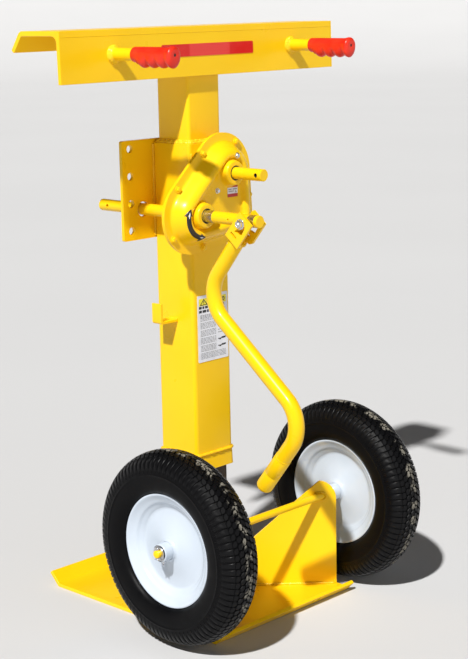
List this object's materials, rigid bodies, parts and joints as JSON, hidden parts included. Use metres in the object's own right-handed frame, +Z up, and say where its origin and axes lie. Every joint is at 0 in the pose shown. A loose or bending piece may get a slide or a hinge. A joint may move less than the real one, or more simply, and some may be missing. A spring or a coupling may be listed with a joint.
{
  "type": "trailer stabilizing jack",
  "caption": "Wheeled stand with a geared screw leg, folding hand crank and a padded-grip channel beam that is raised under the nose of a parked trailer to steady it.",
  "frame": {"origin": "on the floor under the column's axis", "axes": "+Z up the column, -Y towards the front with the wheels and handles, +X to the right as seen from the front"},
  "size_m": [0.794, 0.6807, 1.2465],
  "materials": {
    "yellow_paint": "gloss",
    "bare_steel": "oiled, dark",
    "zinc_plate": "satin",
    "bronze": "satin",
    "tyre": "matt",
    "white_enamel": "gloss",
    "red_vinyl": "satin, dipped",
    "tape": "gloss, reflective",
    "label": "satin"
  },
  "bodies": {
    "base": {"base_plate": "yellow_paint", "gusset_front_left": "yellow_paint", "gusset_front_right": "yellow_paint", "gusset_rear_left": "yellow_paint", "gusset_rear_right": "yellow_paint", "inner_leg": "bare_steel", "lift_nut": "bronze", "wheel_axle": "yellow_paint", "axle_washer_left": "zinc_plate", "axle_washer_right": "zinc_plate"},
    "left_wheel": {"left_tyre": "tyre", "left_rim": "white_enamel", "left_hub": "white_enamel", "left_bearing": "zinc_plate", "left_grease_nipple": "zinc_plate"},
    "right_wheel": {"right_tyre": "tyre", "right_rim": "white_enamel", "right_hub": "white_enamel", "right_bearing": "zinc_plate", "right_grease_nipple": "zinc_plate"},
    "column": {"outer_tube": "yellow_paint", "foot_collar": "yellow_paint", "upper_post": "yellow_paint", "beam": "yellow_paint", "handle_left": "yellow_paint", "handle_right": "yellow_paint", "grip_left": "red_vinyl", "grip_right": "red_vinyl", "reflective_tape": "tape", "mounting_flange": "yellow_paint", "crank_hook": "yellow_paint", "warning_label": "label", "gearbox_case": "yellow_paint", "gearbox_cover": "yellow_paint", "cover_bolt_1": "yellow_paint", "cover_bolt_2": "yellow_paint", "cover_bolt_3": "yellow_paint", "cover_bolt_4": "yellow_paint", "cover_bolt_5": "yellow_paint", "cover_bolt_6": "yellow_paint", "seal_screw_1": "zinc_plate", "seal_screw_2": "zinc_plate", "output_bush": "bronze", "input_bush_front": "bronze", "input_bush_rear": "bronze", "idler_pin": "zinc_plate", "bearing_plate": "bare_steel", "thrust_bearing": "zinc_plate", "gear_decal": "label"},
    "screw": {"lift_screw": "bare_steel", "screw_bevel_gear": "bare_steel"},
    "output": {"output_shaft": "yellow_paint", "output_gear": "bare_steel"},
    "idler": {"idler_gear": "bare_steel"},
    "input": {"input_shaft": "yellow_paint"},
    "crank": {"crank_yoke": "yellow_paint", "crank_handle": "yellow_paint", "yoke_bolt": "zinc_plate"},
    "crank_sleeve": {"crank_grip": "yellow_paint"}
  },
  "joints": [
    {"name": "left_wheel_spin", "type": "hinge", "parent": "base", "child": "left_wheel", "pos_m": [-0.26, -0.2025, 0.2127], "axis": [1, 0, 0], "continuous": true},
    {"name": "right_wheel_spin", "type": "hinge", "parent": "base", "child": "right_wheel", "pos_m": [0.26, -0.2025, 0.2127], "axis": [1, 0, 0], "continuous": true},
    {"name": "column_lift", "type": "slide", "parent": "base", "child": "column", "axis": [0, 0, 1], "range_m": [-0.19, 0.05]},
    {"name": "screw_turn", "type": "hinge", "parent": "column", "child": "screw", "pos_m": [0, 0, 0.893], "axis": [0, 0, 1], "range_deg": [-10800, 2860]},
    {"name": "output_turn", "type": "hinge", "parent": "column", "child": "output", "pos_m": [0, -0.092, 0.945], "axis": [0, 1, 0], "range_deg": [-5680, 21560]},
    {"name": "idler_turn", "type": "hinge", "parent": "column", "child": "idler", "pos_m": [-0.0255, -0.092, 0.86496], "axis": [0, 1, 0], "range_deg": [-28800, 7600]},
    {"name": "input_spin", "type": "hinge", "parent": "column", "child": "input", "pos_m": [-0.0875, -0.092, 0.8645], "axis": [0, 1, 0], "range_deg": [-8, 8]},
    {"name": "crank_fold", "type": "hinge", "parent": "input", "child": "crank", "pos_m": [-0.0875, -0.2525, 0.86], "axis": [1, 0, 0], "range_deg": [-124, 0]},
    {"name": "crank_grip_spin", "type": "hinge", "parent": "crank", "child": "crank_sleeve", "pos_m": [-0.0875, -0.2805, 0.3116], "axis": [0, 0.6105, -0.792], "continuous": true}
  ],
  "couplings": [
    {"joint": "output_turn", "follows": "column_lift", "rad_per_m": -1979},
    {"joint": "screw_turn", "follows": "column_lift", "rad_per_m": 989.48},
    {"joint": "idler_turn", "follows": "column_lift", "rad_per_m": 2638.6}
  ]
}
